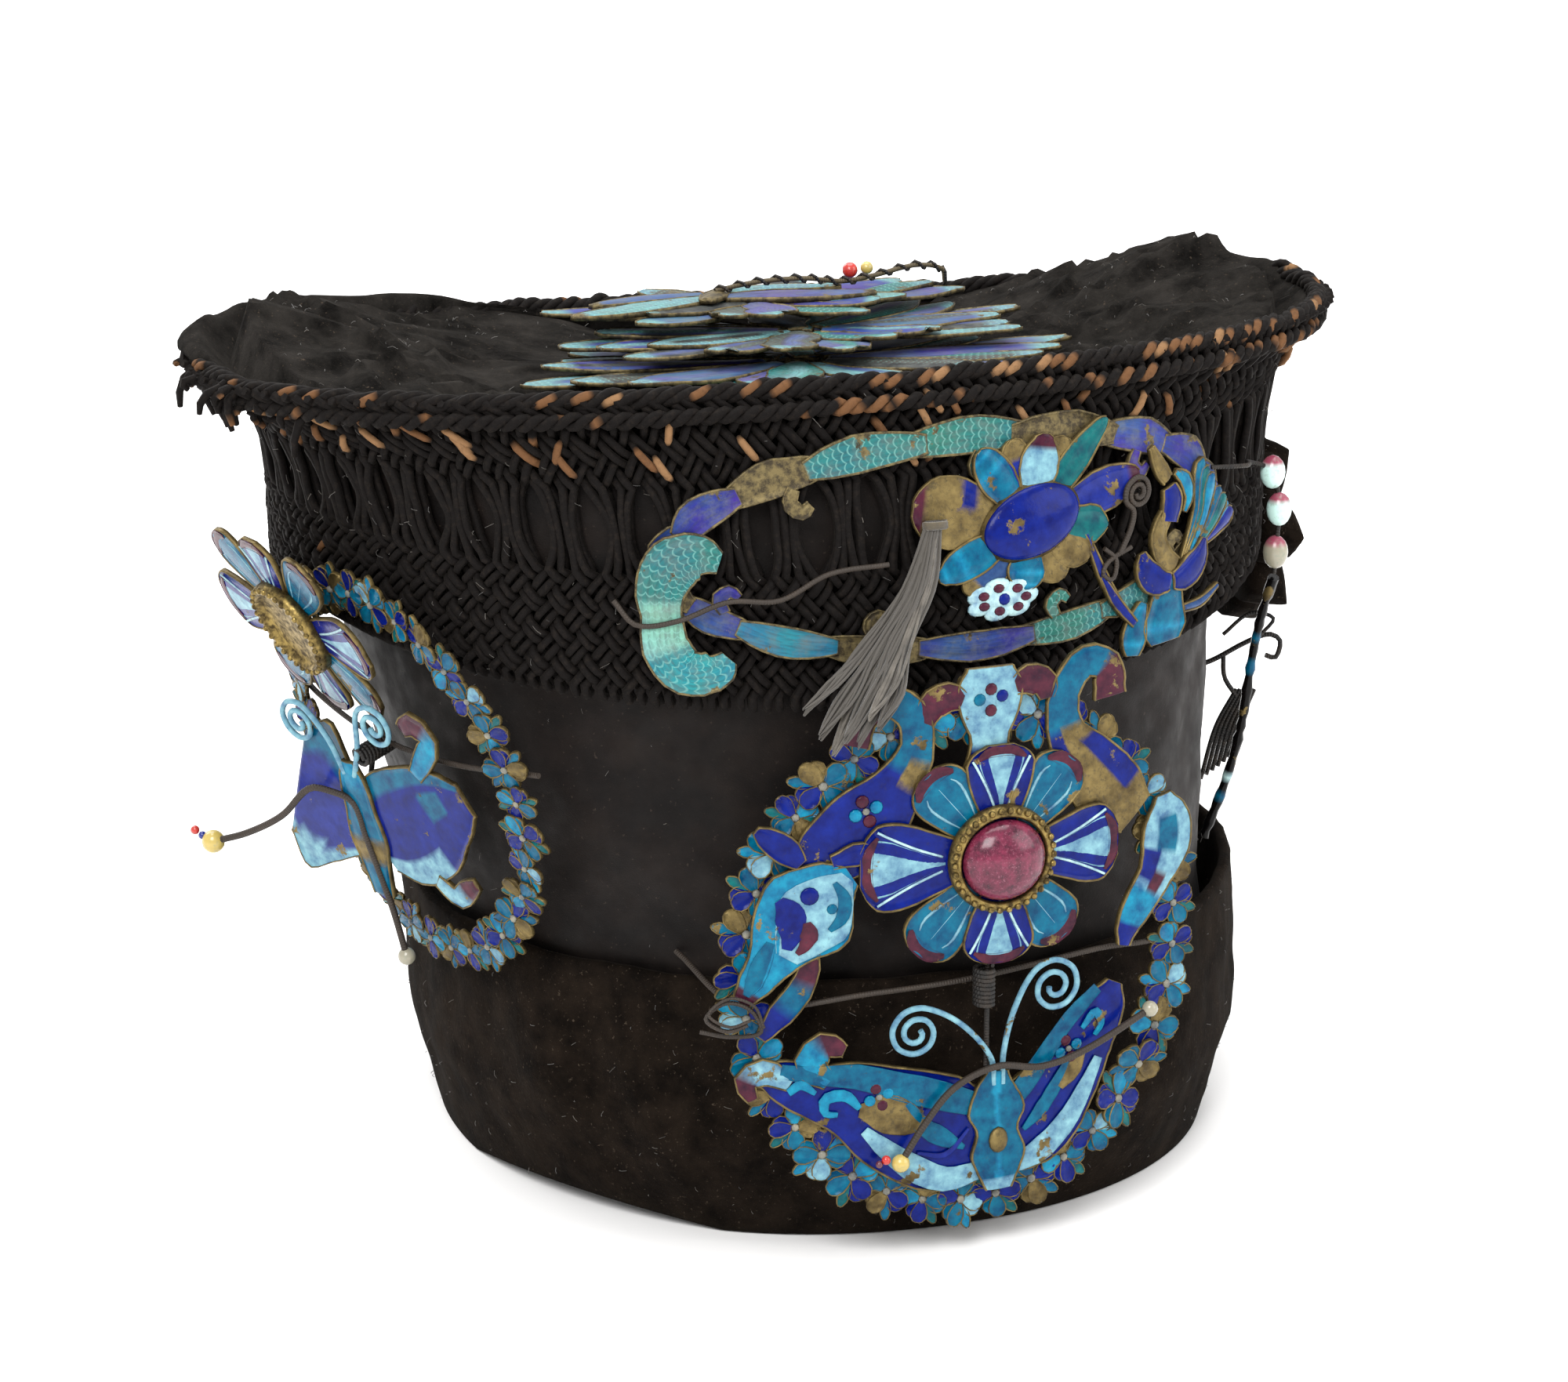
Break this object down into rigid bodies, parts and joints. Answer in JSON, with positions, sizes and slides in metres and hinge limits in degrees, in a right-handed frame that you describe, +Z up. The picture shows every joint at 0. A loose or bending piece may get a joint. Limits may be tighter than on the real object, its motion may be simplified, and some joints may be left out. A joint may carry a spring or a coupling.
{
  "type": "court hat",
  "caption": "Oval court headdress: satin drum, velvet cuff, braided cord crown with a roped rim, and enamelled metal ornaments with wreaths, lotuses, butterflies, a jewel and a silk tassel.",
  "frame": {"origin": "centre of the outline's box on the surface that the hem rests on", "axes": "+Z up from the hem to the crown, -Y towards the wearer's front where the jewelled medallion sits, +X towards the side with the silk rosette"},
  "size_m": [0.2522, 0.202, 0.1842],
  "materials": {
    "satin": "dark brown-black silk satin with a soft sheen",
    "velvet": "black silk velvet with grey lint",
    "cord": "braided black silk cord with slips of bare rattan",
    "enamel": "cobalt, turquoise and aubergine enamel on worn gilt",
    "gilt": "worn fire gilding with a beaded edge",
    "stone": "polished pink tourmaline cabochon",
    "wire": "thin wire wrapped with darkened silk",
    "feather": "kingfisher feather laid on gilt plates, blue to violet and teal",
    "bud": "small white and turquoise glass-like buds with pink tips",
    "silk": "faded grey floss silk"
  },
  "bodies": {
    "root": {"satin_drum": "satin", "velvet_cuff": "velvet", "cord_basket": "cord", "rim_cord": "cord", "crown_velvet": "velvet", "velvet_rosette": "velvet", "front_wreath": "enamel", "front_cross_wire": "wire", "front_vase": "enamel", "front_scroll_left": "enamel", "front_scroll_right": "enamel", "front_lotus": "enamel", "front_bezel": "gilt", "front_cabochon": "stone", "front_peach_left": "enamel", "front_peach_right": "enamel", "front_butterfly": "enamel", "front_antenna_left": "enamel", "front_antenna_right": "enamel", "front_spring_post": "wire", "front_feeler": "wire", "front_wire_phoenix": "wire", "front_leaf": "enamel", "left_wreath": "enamel", "left_cross_wire": "wire", "left_spring": "wire", "left_lotus": "enamel", "left_cup": "gilt", "left_butterfly": "enamel", "left_antenna_left": "enamel", "left_antenna_right": "enamel", "left_feeler": "wire", "brow_frame": "feather", "brow_cloud": "feather", "brow_flower": "feather", "brow_plaque": "feather", "brow_dotted_plaque": "enamel", "brow_phoenix": "feather", "brow_spiral": "wire", "brow_wire": "wire", "brow_tassel": "silk", "brow_buds": "bud", "brow_strip": "enamel", "side_spray": "wire", "top_leaf_low": "feather", "top_leaf_middle": "feather", "top_leaf_high": "feather", "top_butterfly": "feather", "top_coil": "wire"}
  },
  "joints": []
}
